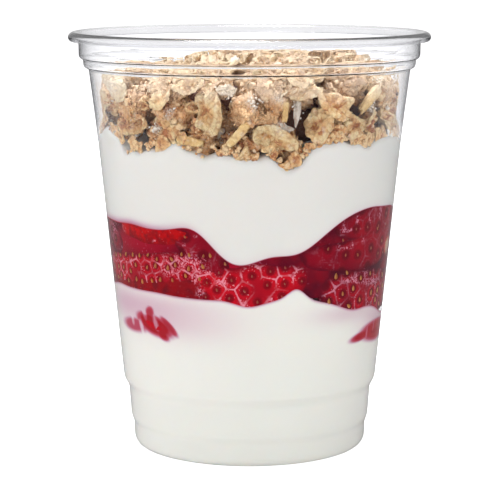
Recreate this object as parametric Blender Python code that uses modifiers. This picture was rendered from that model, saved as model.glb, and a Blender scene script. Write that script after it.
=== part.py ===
"""A yogurt parfait in its clear plastic cup: yogurt, sliced strawberries, yogurt again, and a heap of granola.

The cup stands on its foot ring at the origin, +Z up, and -Y is its front. The food layers are turned
shapes whose upper and lower surfaces rise and fall with the azimuth, and they follow the cup's inner wall.
"""

import math

import bmesh
import bpy
from mathutils import Vector, noise

# The cup: one sheet of plastic, 0.5 mm thick, formed into foot, wall, two snap bands and a rolled lip.
CUP_HEIGHT = 0.113
SHEET = 0.0005
CUP_STEPS = 48
PUNT_HEIGHT = 0.0025
PUNT_RADIUS = 0.0235
FOOT_INNER_RADIUS = 0.0255
FOOT_OUTER_RADIUS = 0.0285
HEEL_RADIUS = 0.0318
HEEL_CORNER = 0.0034
HEEL_CREASE_HEIGHT = 0.0066
COLLAR_RADII = (0.0326, 0.0332)
COLLAR_HEIGHTS = (0.0083, 0.0165)
WALL_FOOT = (0.0345, 0.0190)
WALL_SHOULDER = (0.0410, 0.0840)
WALL_TOP = (0.0434, 0.1033)
LOWER_BAND = (0.04485, 0.1056)
UPPER_BAND = (0.04605, 0.1081)
LIP_ROOT_HEIGHT = 0.1100
LIP_HOLLOW = (0.00125, 0.0010)
LIP_CENTRE_HEIGHT = CUP_HEIGHT - SHEET - LIP_HOLLOW[1]
LIP_END_ANGLE = math.radians(-52)
ARC_POINTS = 2
LIP_ARC_POINTS = 5

# The gap that the food keeps to the plastic, and one layer to the next.
GAP = 0.0004
FOOD_SEGMENTS = 48
SHARP_ANGLE = math.radians(35)
# The rings across a layer, as parts of the wall's radius. The bed of strawberries ends at the fourth.
REACHES = (0.0, 0.3, 0.6, 0.86, 1.0)
BED_REACH = REACHES[3]

# The surfaces between the layers: a level, and waves of (azimuth, half width, height) round the wall.
# Azimuth 0 is the front and 90 the right-hand side.
BERRY_FLOOR = 0.0458
BERRY_FLOOR_WAVES = ((2, 12, -0.0014), (64, 24, -0.0050), (130, 26, 0.0012), (205, 24, -0.0026))
BERRY_ROOF = 0.0632
BERRY_ROOF_WAVES = ((-4, 11, -0.0068), (16, 13, -0.0052), (56, 18, 0.0050), (128, 22, -0.0030),
                    (172, 20, 0.0024), (218, 20, -0.0046), (252, 14, 0.0010))
GRANOLA_FLOOR = 0.0852
GRANOLA_FLOOR_WAVES = ((-66, 12, 0.0020), (-46, 10, -0.0012), (14, 10, -0.0042), (38, 11, 0.0015),
                       (105, 16, -0.0022), (160, 14, 0.0016), (212, 18, -0.0026))
GRANOLA_EDGE = 0.1015
GRANOLA_EDGE_WAVES = ((-84, 12, -0.0050), (0, 40, 0.0014), (84, 14, -0.0046), (180, 40, 0.0016))
HEAP_RISE = 0.0034
HEAP_ROUGHNESS = 0.0042
HEAP_GRAIN = 0.0085
HEAP_CEILING = 0.1068
HEAP_REACHES = (1.0, 0.88, 0.7, 0.52, 0.34, 0.17, 0.0)

# The strawberries: halves and slices stood against the wall, in front of a bed that runs through.
SLICE_DEPTH = 0.0047
BERRY_SEGMENTS = 10
BERRY_RINGS = 7
# The powers that round a berry: 0.5 along it is an ellipse, and less is blunter at the ends. Across it,
# 1 is a round section, and less is flatter where it lies on the wall and where it was cut.
BERRY_FULLNESS = 0.32
BERRY_FLATNESS = 0.4
# How much of what would stand out past a neighbouring layer is kept, so that no two points meet.
PRESSED_REST = 0.01
TINY = 0.000001
# name: azimuth, height of the middle, half length, half height, tilt of the length, taper to the tip
WALL_BERRIES = {
    "strawberry_left_half": (-49, 0.0527, 0.0194, 0.0046, 5, 0.12),
    "strawberry_left_cut": (-43, 0.0612, 0.0108, 0.0021, -1, 0.10),
    "strawberry_left_tip": (-17, 0.0604, 0.0044, 0.0026, -34, 0.10),
    "strawberry_left_chunk": (-73, 0.0605, 0.0048, 0.0030, -20, 0.10),
    "strawberry_left_slice": (-37, 0.0474, 0.0085, 0.0014, 6, -0.30),
    "strawberry_front_half": (1, 0.0500, 0.0150, 0.0054, 2, 0.05),
    "strawberry_right_half": (56, 0.0467, 0.0197, 0.0060, -4, 0.05),
    "strawberry_right_slice": (52, 0.0567, 0.0180, 0.0033, 2, -0.16),
    "strawberry_right_cut": (60, 0.0638, 0.0148, 0.0027, 2, -0.12),
    "strawberry_back_half_1": (119, 0.0514, 0.0130, 0.0044, 5, 0.15),
    "strawberry_back_half_2": (161, 0.0514, 0.0122, 0.0046, -4, -0.15),
    "strawberry_back_half_3": (205, 0.0492, 0.0135, 0.0050, 4, 0.12),
    "strawberry_back_half_4": (248, 0.0510, 0.0120, 0.0044, -5, 0.15),
    "strawberry_back_slice_1": (104, 0.0603, 0.0080, 0.0028, 8, 0.15),
    "strawberry_back_slice_2": (138, 0.0592, 0.0110, 0.0021, -5, 0.12),
    "strawberry_back_slice_3": (177, 0.0607, 0.0110, 0.0032, 3, -0.15),
    "strawberry_back_slice_4": (225, 0.0580, 0.0100, 0.0019, -4, 0.10),
    "strawberry_back_slice_5": (259, 0.0606, 0.0090, 0.0030, 6, 0.15),
}
# Small pieces sunk in the lower yogurt, which show through it where they touch the wall.
SUNK_BERRIES = {
    "strawberry_sunk_left": (-48, 0.0377, 0.0100, 0.0028, -8, 0.25),
    "strawberry_sunk_right": (66, 0.0341, 0.0092, 0.0026, 9, -0.25),
    "strawberry_sunk_back": (170, 0.0362, 0.0090, 0.0028, 6, 0.20),
}
SUNK_DEPTH = 0.0036

PLASTIC_COLOUR = (0.90, 0.92, 0.92, 1.0)
YOGURT_COLOUR = (0.86, 0.84, 0.79, 1.0)
BERRY_COLOUR = (0.55, 0.010, 0.020, 1.0)
BED_COLOUR = (0.26, 0.008, 0.018, 1.0)
GRANOLA_COLOUR = (0.46, 0.27, 0.14, 1.0)


def clear_scene():
    for old in list(bpy.data.objects):
        bpy.data.objects.remove(old)


def new_collection(name):
    collection = bpy.data.collections.new(name)
    bpy.context.scene.collection.children.link(collection)
    return collection


def new_material(name, colour, roughness, metallic=0.0, transmission=0.0):
    material = bpy.data.materials.new(name)
    material.use_nodes = True
    shader = material.node_tree.nodes["Principled BSDF"]
    shader.inputs["Base Color"].default_value = colour
    shader.inputs["Roughness"].default_value = roughness
    shader.inputs["Metallic"].default_value = metallic
    shader.inputs["Transmission Weight"].default_value = transmission
    return material


def new_object(name, mesh, collection, material):
    body = bpy.data.objects.new(name, mesh)
    mesh.materials.append(material)
    collection.objects.link(body)
    return body


def quarter_bulge(start, end):
    """Points after start on the rounded band that swells out to end."""
    points = []
    for step in range(1, ARC_POINTS + 1):
        angle = math.pi / 2 * step / ARC_POINTS
        radius = start[0] + (end[0] - start[0]) * math.sin(angle)
        points.append((radius, start[1] + (end[1] - start[1]) * (1 - math.cos(angle))))
    return points


def lip_hollow():
    """The inside of the rolled lip, from its free edge over the top and down to the upper band."""
    centre = UPPER_BAND[0] + LIP_HOLLOW[0]
    points = []
    for step in range(LIP_ARC_POINTS + 1):
        angle = LIP_END_ANGLE + (math.pi - LIP_END_ANGLE) * step / LIP_ARC_POINTS
        height = LIP_CENTRE_HEIGHT + LIP_HOLLOW[1] * math.sin(angle)
        points.append((centre + LIP_HOLLOW[0] * math.cos(angle), height))
    return points


def heel_corner():
    """The rounded corner from the heel down to the foot ring."""
    points = []
    for step in range(ARC_POINTS + 1):
        angle = math.pi / 2 * step / ARC_POINTS
        radius = HEEL_RADIUS - (HEEL_RADIUS - FOOT_OUTER_RADIUS) * (1 - math.cos(angle))
        points.append((radius, HEEL_CORNER * (1 - math.sin(angle))))
    return points


def wall_outline():
    """The outer side of the sheet from the lower band down to the middle of the base."""
    lower_band = [WALL_TOP] + quarter_bulge(WALL_TOP, LOWER_BAND)
    return (
        lower_band[::-1]
        + [WALL_SHOULDER, WALL_FOOT, (COLLAR_RADII[1], COLLAR_HEIGHTS[1])]
        + [(COLLAR_RADII[0], COLLAR_HEIGHTS[0]), (HEEL_RADIUS, HEEL_CREASE_HEIGHT)]
        + heel_corner()
        + [(FOOT_INNER_RADIUS, 0.0), (PUNT_RADIUS, PUNT_HEIGHT), (0.0, PUNT_HEIGHT)]
    )


def cup_outline():
    """The outer side of the whole sheet, from the lip's free edge to the middle of the base."""
    upper_band = quarter_bulge(LOWER_BAND, UPPER_BAND)
    return lip_hollow() + [(UPPER_BAND[0], LIP_ROOT_HEIGHT)] + upper_band[::-1] + wall_outline()


def inset(outline, distance):
    """The outline moved inwards, each corner along the line that halves its angle."""
    moved = []
    for index, point in enumerate(outline):
        before = Vector(outline[max(index - 1, 0)])
        after = Vector(outline[min(index + 1, len(outline) - 1)])
        here = Vector(point)
        sides = [(b - a).normalized() for a, b in ((before, here), (here, after)) if a != b]
        normals = [Vector((side.y, -side.x)) for side in sides]
        middle = sum(normals, Vector((0, 0))).normalized()
        moved.append(here + middle * distance / middle.dot(normals[0]))
    return [(max(point.x, 0.0), point.y) for point in moved]


FOOD_OUTLINE = inset(wall_outline(), SHEET + GAP)


def food_radius(height):
    """The radius at which food lies against the wall."""
    for (upper, top), (lower, bottom) in zip(FOOD_OUTLINE, FOOD_OUTLINE[1:]):
        if bottom <= height <= top and top > bottom:
            return lower + (upper - lower) * (height - bottom) / (top - bottom)
    return FOOD_OUTLINE[0][0]


def wave_height(waves, azimuth):
    """The sum of the round waves at an azimuth in degrees."""
    total = 0.0
    for middle, half_width, height in waves:
        away = (azimuth - middle + 180) % 360 - 180
        total += height * math.exp(-((away / half_width) ** 2))
    return total


def surface(level, waves):
    """A surface whose waves stand at full height near the wall and fade out towards the middle."""

    def height(azimuth, reach=1.0):
        return level + wave_height(waves, azimuth) * min(1.0, reach / BED_REACH) ** 2

    return height


berry_floor = surface(BERRY_FLOOR, BERRY_FLOOR_WAVES)
berry_roof = surface(BERRY_ROOF, BERRY_ROOF_WAVES)
granola_floor = surface(GRANOLA_FLOOR, GRANOLA_FLOOR_WAVES)


def granola_top(azimuth, reach):
    """The heap: its edge below the lower band, a low crown, and the lumps of single clusters."""
    edge = GRANOLA_EDGE + wave_height(GRANOLA_EDGE_WAVES, azimuth) * reach**3
    turn = math.radians(azimuth)
    spot = Vector((math.sin(turn), -math.cos(turn), 0.0)) * reach * WALL_TOP[0] / HEAP_GRAIN
    lumps = HEAP_ROUGHNESS * noise.noise(spot)
    ceiling = WALL_TOP[1] - GAP if reach == 1.0 else HEAP_CEILING
    return min(edge + HEAP_RISE * (1 - reach**2) + lumps, ceiling)


def place(azimuth, radius, height):
    turn = math.radians(azimuth)
    return Vector((radius * math.sin(turn), -radius * math.cos(turn), height))


def layer_mesh(name, rings):
    """A turned solid. Each ring, from the bottom pole to the top one, gives (radius, height) at an azimuth."""
    shape = bmesh.new()
    bands = len(rings) - 1
    bmesh.ops.create_uvsphere(shape, u_segments=FOOD_SEGMENTS, v_segments=bands, radius=1.0)
    for vertex in shape.verts:
        ring = round((math.asin(max(-1.0, min(1.0, vertex.co.z))) / math.pi + 0.5) * bands)
        azimuth = math.degrees(math.atan2(vertex.co.x, -vertex.co.y))
        vertex.co = place(azimuth, *rings[ring](azimuth))
    mesh = bpy.data.meshes.new(name)
    shape.to_mesh(mesh)
    shape.free()
    mesh.shade_smooth()
    mesh.set_sharp_from_angle(angle=SHARP_ANGLE)
    return mesh


def surface_rings(height_at, lift, reaches):
    """Rings across a layer's upper or lower surface, at parts of the wall's radius."""

    def ring_at(reach):
        def ring(azimuth):
            edge = height_at(azimuth, 1.0) + lift
            return reach * food_radius(edge), height_at(azimuth, reach) + lift

        return ring

    return [ring_at(reach) for reach in reaches]


def wall_rings(lower, upper, parts):
    """Rings up the wall between two surfaces, at parts of the way."""

    def ring_at(part):
        def ring(azimuth):
            height = lower(azimuth) + (upper(azimuth) - lower(azimuth)) * part
            return food_radius(height), height

        return ring

    return [ring_at(part) for part in parts]


def fixed_ring(point):
    return lambda azimuth: point


def make_cup(collection, material):
    mesh = bpy.data.meshes.new("cup")
    outline = cup_outline()
    edges = [(index, index + 1) for index in range(len(outline) - 1)]
    mesh.from_pydata([(radius, 0.0, height) for radius, height in outline], edges, [])
    cup = new_object("cup", mesh, collection, material)
    turn = cup.modifiers.new("turn", "SCREW")
    turn.steps = turn.render_steps = CUP_STEPS
    turn.use_merge_vertices = True
    turn.merge_threshold = 0.00001
    wall = cup.modifiers.new("wall", "SOLIDIFY")
    wall.thickness = SHEET
    wall.use_even_offset = True
    return cup


def make_lower_yogurt(collection, material):
    base = [point for point in FOOD_OUTLINE if point[1] < WALL_FOOT[1]][::-1]
    foot = (food_radius(WALL_FOOT[1]), WALL_FOOT[1])

    rings = [fixed_ring(point) for point in base + [foot]]
    rings += wall_rings(lambda azimuth: WALL_FOOT[1], berry_floor, (0.35, 0.7))
    rings += surface_rings(berry_floor, 0.0, REACHES[::-1])
    return new_object("yogurt_lower", layer_mesh("yogurt_lower", rings), collection, material)


def make_berry_bed(collection, material):
    """The strawberries behind the ones at the wall, as one layer."""
    rings = surface_rings(berry_floor, GAP, REACHES[:4])
    rings += surface_rings(berry_roof, -GAP, REACHES[3::-1])
    return new_object("strawberry_bed", layer_mesh("strawberry_bed", rings), collection, material)


def make_upper_yogurt(collection, material):
    rings = surface_rings(berry_roof, 0.0, REACHES)
    rings += wall_rings(berry_roof, granola_floor, (0.35, 0.7))
    rings += surface_rings(granola_floor, 0.0, REACHES[::-1])
    return new_object("yogurt_upper", layer_mesh("yogurt_upper", rings), collection, material)


def make_granola(collection, material):
    def edge(azimuth):
        return granola_top(azimuth, 1.0)

    rings = surface_rings(granola_floor, GAP, REACHES)
    rings += wall_rings(granola_floor, edge, (0.5,))
    rings += surface_rings(granola_top, 0.0, HEAP_REACHES)
    return new_object("granola", layer_mesh("granola", rings), collection, material)


def pressed(value, low, high):
    """The value held between two limits, with a trace of its order kept beyond them."""
    if value < low:
        return low + (value - low) * PRESSED_REST
    if value > high:
        return high + (value - high) * PRESSED_REST
    return value


def berry_mesh(name, shape_values, depth, limits, grow=0.0, stick_out=0.0):
    """A berry half lying along the wall: its skin pressed to the plastic, its cut side turned inwards."""
    azimuth, middle, half_length, half_height, tilt, taper = shape_values
    shape = bmesh.new()
    bmesh.ops.create_uvsphere(
        shape, u_segments=BERRY_SEGMENTS, v_segments=BERRY_RINGS, radius=1.0
    )
    lean = math.radians(tilt)
    for vertex in shape.verts:
        along = vertex.co.z
        fuller = (1 + TINY - along**2) ** (BERRY_FULLNESS - 0.5)
        up, out = vertex.co.x * fuller, vertex.co.y * fuller
        width = half_height * (1 - taper * along) + grow
        length = half_length + grow
        along_wall = along * length * math.cos(lean) - up * width * math.sin(lean)
        height = middle + along * length * math.sin(lean) + up * width * math.cos(lean)
        spot = azimuth + math.degrees(along_wall / food_radius(middle))
        low, high = limits(spot)
        height = pressed(height, low, high)
        flat = math.copysign(abs(out) ** BERRY_FLATNESS, out)
        inner = food_radius(height) - (depth + grow)
        outer = food_radius(height) + stick_out
        vertex.co = place(spot, inner + (outer - inner) * (flat + 1) / 2, height)
    shape.normal_update()
    bmesh.ops.recalc_face_normals(shape, faces=shape.faces)
    mesh = bpy.data.meshes.new(name)
    shape.to_mesh(mesh)
    shape.free()
    mesh.shade_smooth()
    return mesh


def make_wall_berries(collection, material):
    def limits(azimuth):
        return berry_floor(azimuth) + GAP, berry_roof(azimuth) - GAP

    for name, values in WALL_BERRIES.items():
        mesh = berry_mesh(name, values, SLICE_DEPTH, limits)
        new_object(name, mesh, collection, material)


def make_sunk_berries(collection, cutters, material, yogurt):
    """Small pieces, each in a pocket that the yogurt leaves for it."""

    def limits(azimuth):
        return WALL_FOOT[1], berry_floor(azimuth) - 2 * GAP

    for name, values in SUNK_BERRIES.items():
        mesh = berry_mesh(name, values, SUNK_DEPTH, limits)
        new_object(name, mesh, collection, material)
        hole = berry_mesh(name + "_pocket", values, SUNK_DEPTH, limits, grow=GAP, stick_out=SHEET)
        pocket = new_object(name + "_pocket", hole, cutters, material)
        pocket.hide_render = True
        pocket.display_type = "WIRE"
        cut = yogurt.modifiers.new(name, "BOOLEAN")
        cut.object = pocket
        cut.operation = "DIFFERENCE"
        cut.solver = "EXACT"


def build():
    clear_scene()
    parfait = new_collection("yogurt_parfait")
    cutters = new_collection("cutters")
    plastic = new_material("clear_plastic", PLASTIC_COLOUR, 0.05, transmission=1.0)
    yogurt = new_material("yogurt", YOGURT_COLOUR, 0.35)
    berry = new_material("strawberry", BERRY_COLOUR, 0.25)
    bed = new_material("strawberry_bed", BED_COLOUR, 0.35)
    granola = new_material("granola", GRANOLA_COLOUR, 0.75)
    make_cup(parfait, plastic)
    lower = make_lower_yogurt(parfait, yogurt)
    make_sunk_berries(parfait, cutters, berry, lower)
    make_berry_bed(parfait, bed)
    make_wall_berries(parfait, berry)
    make_upper_yogurt(parfait, yogurt)
    make_granola(parfait, granola)


build()
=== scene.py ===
import math

import bpy
import numpy as np
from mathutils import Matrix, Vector, noise


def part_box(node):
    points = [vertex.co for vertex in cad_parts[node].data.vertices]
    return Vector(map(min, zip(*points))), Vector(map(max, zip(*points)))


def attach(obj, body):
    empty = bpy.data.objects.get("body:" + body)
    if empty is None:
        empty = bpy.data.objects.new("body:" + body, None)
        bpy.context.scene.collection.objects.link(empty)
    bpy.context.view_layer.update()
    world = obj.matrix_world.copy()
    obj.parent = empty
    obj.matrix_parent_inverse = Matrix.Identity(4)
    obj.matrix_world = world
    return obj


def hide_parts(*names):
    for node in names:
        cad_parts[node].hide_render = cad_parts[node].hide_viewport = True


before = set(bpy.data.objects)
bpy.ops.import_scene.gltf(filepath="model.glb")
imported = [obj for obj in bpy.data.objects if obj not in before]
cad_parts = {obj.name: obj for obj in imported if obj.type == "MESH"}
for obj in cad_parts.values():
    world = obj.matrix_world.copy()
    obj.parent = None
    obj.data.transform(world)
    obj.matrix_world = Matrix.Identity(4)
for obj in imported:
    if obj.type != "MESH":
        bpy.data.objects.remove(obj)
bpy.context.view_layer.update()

MM = 0.001
chance = np.random.default_rng(20)


# ------------------------------------------------------------------ The cup
# One sheet of clear plastic, drawn hot into a tapered wall that stands on a stepped foot.
# Two snap bands run round under its rim, and the edge of the sheet is rolled over into a lip.

cup_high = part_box("cup")[1]
RIM_HEIGHT = cup_high[2]
RIM_RADIUS = cup_high[0]
CLEAR_SHEET = 0.5 * MM
CUP_SIDES = 160
# (radius, height, rounding) of each corner, from the middle of the base up to the lip, in millimetres
CUP_CORNERS = (
    (0, 2.5, 0), (23.5, 2.5, 1.2), (25.5, 0, 1), (31.7, 0, 3.4), (31.85, 6.4, 0.7),
    (32.6, 8.2, 0.8), (33.2, 16.5, 0.9), (34.5, 18.9, 0.9), (41, 84, 9), (43.4, 103.1, 0.55),
    (44.75, 103.6, 0.9), (44.85, 105.6, 0.55), (46, 106.2, 0.9), (46.05, 110, 0),
)
ROUNDING_POINTS = 6
LIP_POINTS = 16
LIP_END = math.radians(-50)
LIP_BEGINS = 109 * MM
THIN_EDGE = 0.2
THIN_EDGE_POINTS = 10
SHARP_CORNER = math.radians(50)


def rounded(corners):
    """The corners joined into one outline in metres, each rounded by a short parabola."""
    outline = []
    for index, (radius, height, rounding) in enumerate(corners):
        here = Vector((radius, height))
        if not rounding:
            outline.append(here * MM)
            continue
        before = Vector(corners[index - 1][:2]) - here
        after = Vector(corners[index + 1][:2]) - here
        start = here + before.normalized() * min(rounding, before.length / 2)
        end = here + after.normalized() * min(rounding, after.length / 2)
        for step in range(ROUNDING_POINTS + 1):
            part = step / ROUNDING_POINTS
            first, second = start.lerp(here, part), here.lerp(end, part)
            outline.append(first.lerp(second, part) * MM)
    return outline


def rolled_lip(root):
    """The hollow under the lip, from the root at the band over to the free edge."""
    half_width = (RIM_RADIUS - CLEAR_SHEET - root.x) / 2
    half_height = half_width * 0.85
    middle = Vector((root.x + half_width, RIM_HEIGHT - CLEAR_SHEET - half_height))
    angles = np.linspace(math.pi, LIP_END, LIP_POINTS)
    return [middle + Vector((half_width * math.cos(a), half_height * math.sin(a))) for a in angles]


def other_side(outline, thickness):
    """The outline's other side, one thickness to the left of its way up, thinning to its free edge."""
    moved = []
    last = len(outline) - 1
    for index, here in enumerate(outline):
        way = outline[min(index + 1, last)] - outline[max(index - 1, 0)]
        way.normalize()
        thinned = np.interp(index, (last - THIN_EDGE_POINTS, last), (1, THIN_EDGE))
        moved.append(here + Vector((-way.y, way.x)) * thickness * float(thinned))
    moved[0].x = 0
    return moved


def fresh(add, **sizes):
    """A new blank, with nothing else selected."""
    bpy.ops.object.select_all(action="DESELECT")
    add(**sizes)
    return bpy.context.object


def turned(name, outline, sides):
    """A piece turned about the cup's axis from its outline, which ends on the axis or closes."""
    piece = fresh(bpy.ops.mesh.primitive_plane_add, size=MM)
    piece.name = piece.data.name = name
    bpy.ops.object.mode_set(mode="EDIT")
    bpy.ops.mesh.select_all(action="SELECT")
    bpy.ops.mesh.merge(type="CENTER")
    bpy.ops.transform.translate(value=(outline[0].x, 0, outline[0].y))
    for here, there in zip(outline, outline[1:]):
        step = (there.x - here.x, 0, there.y - here.y)
        bpy.ops.mesh.extrude_region_move(TRANSFORM_OT_translate={"value": step})
    bpy.ops.mesh.select_all(action="SELECT")
    bpy.ops.mesh.spin(steps=sides, angle=math.tau, center=(0, 0, 0), axis=(0, 0, 1))
    bpy.ops.mesh.select_all(action="SELECT")
    bpy.ops.mesh.remove_doubles(threshold=0.002 * MM)
    bpy.ops.mesh.normals_make_consistent(inside=False)
    bpy.ops.object.mode_set(mode="OBJECT")
    bpy.ops.object.shade_smooth_by_angle(angle=SHARP_CORNER)
    return piece


class Wire:
    """One output of a node. Arithmetic on it adds Math nodes to the same finish."""

    def __init__(self, finish, socket):
        self.finish, self.socket = finish, socket

    def math(self, operation, *values, clamp=False):
        settings = {"operation": operation, "use_clamp": clamp}
        return self.finish.node("ShaderNodeMath", settings, values)

    def __add__(self, other):
        return self.math("ADD", self, other)

    def __sub__(self, other):
        return self.math("SUBTRACT", self, other)

    def __rsub__(self, other):
        return self.math("SUBTRACT", other, self)

    def __mul__(self, other):
        return self.math("MULTIPLY", self, other)

    def held(self):
        """The value held between 0 and 1."""
        return self.math("ADD", self, 0, clamp=True)

    def rise(self, low, high):
        """0 at low, 1 at high, and smooth between them."""
        settings = {"interpolation_type": "SMOOTHSTEP"}
        return self.finish.node("ShaderNodeMapRange", settings, {0: self, 1: low, 2: high})


class Finish:
    """A material while its nodes are being added."""

    def __init__(self, name):
        self.material = bpy.data.materials.new(name)
        self.material.use_nodes = True
        self.tree = self.material.node_tree
        self.tree.nodes.clear()

    def node(self, kind, settings=None, values=(), output=0):
        """A node of a kind, with its settings made first and then its sockets' values or links."""
        made = self.tree.nodes.new(kind)
        for setting, value in (settings or {}).items():
            if setting == "stops":
                elements = made.color_ramp.elements
                for _ in value[2:]:
                    elements.new(1)
                for element, (place, colour) in zip(elements, value):
                    element.position, element.color = place, paint(*colour)
            else:
                setattr(made, setting, value)
        pairs = values.items() if isinstance(values, dict) else enumerate(values)
        for socket, value in pairs:
            if isinstance(value, Wire):
                self.tree.links.new(value.socket, made.inputs[socket])
            else:
                made.inputs[socket].default_value = value
        return Wire(self, made.outputs[output]) if made.outputs else None

    def math(self, operation, *values):
        return self.node("ShaderNodeMath", {"operation": operation}, values)

    def place(self):
        return self.node("ShaderNodeTexCoord", output="Object")

    def noise(self, scale, detail, where=None):
        values = {"Vector": where or self.place(), "Scale": scale, "Detail": detail}
        return self.node("ShaderNodeTexNoise", None, values, output="Fac")

    def grains(self, scale, where, output="Distance"):
        """Crumb-like cells: how far off their middles are, or a chance value for each."""
        values = {"Vector": where, "Scale": scale}
        cells = self.node("ShaderNodeTexVoronoi", None, values, output=output)
        if output == "Color":
            return self.node("ShaderNodeSeparateColor", None, (cells,))
        return cells

    def light(self, kind):
        return self.node("ShaderNodeLightPath", output=kind)

    def seen(self):
        """1 for what shows plainly or through the plastic."""
        return (self.light("Is Camera Ray") + self.light("Is Transmission Ray")).held()

    def mirrored(self):
        """1 for what shows as a plain reflection, 0 for light that has also gone through things."""
        return self.light("Is Glossy Ray") * self.math("LESS_THAN", self.light("Ray Depth"), 1.5)

    def on_food(self):
        """1 for light that falls on the food, 0 for what shows past it."""
        return self.math("GREATER_THAN", self.light("Diffuse Depth"), 0.5)

    def mark(self, name):
        """A value that the mesh carries at each point."""
        return self.node("ShaderNodeAttribute", {"attribute_name": name}, output="Fac")

    def mix(self, part, first, second, blend="MIX"):
        """Two colours mixed, each one a node's or a paint chart's."""
        settings = {"data_type": "RGBA", "blend_type": blend}
        first, second = (paint(*tone) if isinstance(tone, tuple) else tone for tone in (first, second))
        return self.node("ShaderNodeMix", settings, {0: part, 6: first, 7: second}, output=2)

    def ramp(self, value, stops):
        return self.node("ShaderNodeValToRGB", {"stops": stops}, {0: value})

    def bump(self, height, depth, strength=1):
        values = {"Height": height, "Distance": depth, "Strength": strength}
        return self.node("ShaderNodeBump", None, values)

    def surface(self, values):
        return self.node("ShaderNodeBsdfPrincipled", None, values)

    def done(self, shader):
        """The finished material, from a shader or from a plain surface's values."""
        shader = self.surface(shader) if isinstance(shader, dict) else shader
        self.node("ShaderNodeOutputMaterial", None, {"Surface": shader})
        return self.material


def paint(red, green, blue):
    """A colour given as a paint chart gives it, from 0 to 255, in the shader's own linear values."""
    chart = [value / 255 for value in (red, green, blue)]
    linear = [v / 12.92 if v <= 0.04045 else ((v + 0.055) / 1.055) ** 2.4 for v in chart]
    return (*linear, 1)


def clear_plastic():
    """Clear sheet with painted shade: tinted dark and metallic where it is seen edge on, but not where food
    wets it from behind, and along the top of the lip.
    """
    finish = Finish("clear_plastic")
    draw_marks = finish.noise(55, 2)
    upright = finish.node("ShaderNodeVectorMath", {"operation": "MULTIPLY"}, (
        finish.place(), (0.04, 0.04, 1)))
    bands = finish.noise(1300, 1, where=upright) * finish.mark("banded")
    # Painted shade: dark grey and metallic where the sheet is seen edge on, and along the top of the lip
    edge_on = finish.node("ShaderNodeLayerWeight", None, {"Blend": 0.5}, output="Facing")
    crest = finish.math("POWER", edge_on, 1.2) * finish.mark("crest")
    edge_on = (finish.math("POWER", edge_on, 4) * finish.mark("dry") + crest).held()
    clear = finish.mix(draw_marks, (253, 253, 254), (250, 250, 252))
    shader = finish.surface({
        "Base Color": finish.mix(edge_on, clear, (92, 96, 104)),
        "Metallic": edge_on * 0.9,
        "Roughness": draw_marks * 0.016 + 0.002,
        "IOR": 1.5,
        "Specular Tint": (0.1, 0.1, 0.11, 1),
        "Transmission Weight": 1,
        "Normal": finish.bump(draw_marks * 0.2 + bands * 0.6, 0.06 * MM),
    })
    lit_through = finish.node("ShaderNodeBsdfTransparent", None, {0: paint(250, 251, 252)})
    in_shadow = finish.light("Is Shadow Ray")
    return finish.done(finish.node("ShaderNodeMixShader", None, (in_shadow, shader, lit_through)))


def points_of(mesh):
    points = np.empty(len(mesh.vertices) * 3)
    mesh.vertices.foreach_get("co", points)
    return points.reshape(-1, 3)


def carry(mesh, name, values):
    """Writes a value at each point, or one for all of them, for the finish to read."""
    values = np.zeros(len(mesh.vertices)) + values
    mark = mesh.attributes.new(name, "FLOAT", "POINT")
    mark.data.foreach_set("value", np.ascontiguousarray(values, dtype=np.float32))


cup_outside = rounded(CUP_CORNERS)
cup_outside += rolled_lip(cup_outside[-1])[1:]
cup_inside = other_side(cup_outside, CLEAR_SHEET)
cup = turned("clear_cup", cup_outside + cup_inside[::-1], CUP_SIDES)
points = points_of(cup.data)
outward = points * (1, 1, 0) / (np.linalg.norm(points[:, :2], axis=1)[:, None] + 1e-9)
normals = np.array([point.normal for point in cup.data.vertices])
outwards, upwards = np.sum(normals * outward, axis=1), normals[:, 2]
on_lip = points[:, 2] > LIP_BEGINS
# How edge on the sheet is seen from the side, for its painted shade
side = (outwards + 0.2) / 0.6 * (1 - 0.88 * np.abs(upwards))
side = np.where(on_lip, (outwards - 0.12) / 0.5 * np.interp(upwards, (-0.6, 0), (0.35, 1)), side)
# Painted shade: a dark line along the top of the lip, stronger towards the front
in_front = np.interp(-outward[:, 1], (-0.7, 0.2), (0.3, 1))
crest = np.interp(outwards, (-0.7, -0.25, -0.03, 0.2, 0.5), (0.3, 0.6, 1, 0.9, 0.1))
carry(cup.data, "crest", crest * in_front * on_lip * (upwards > 0))
# Painted shade where the sheet is seen edge on, from the granola up to the lip, where no food wets it
dry = np.interp(points[:, 2] / MM, (86, 90, 104.6, 106.4), (0, 0.75, 0.75, 1))
carry(cup.data, "dry", dry * np.clip(side, 0.05, 1))
carry(cup.data, "banded", np.interp(points[:, 2] / MM, (97, 100, 108, 109), (0, 1, 1, 0)) * (outwards > 0))
cup.data.materials.append(clear_plastic())
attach(cup, "root")
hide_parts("cup")


# --------------------------------------------------------- The lower yogurt
# Thick plain yogurt spooned in first. It wets the plastic all the way down into the foot, and
# the strawberries have pressed its top into low waves and stained it pink with their juice.

FOOD_SIDES = 480
FOOT_TOP = 20 * MM
# Where a layer's flat sides have rings of points, as parts of the way out to the wall
LAYER_RINGS = (0, 0.4, 0.7, 0.9)
OUTER_RING = 0.97
wall_side = [point for point in cup_outside[:-LIP_POINTS] if point.x > 28 * MM]
wall_heights = np.array([point.y for point in wall_side])
wall_radii = np.array([point.x for point in wall_side])
WET_DEPTH = 0.1 * MM
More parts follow.
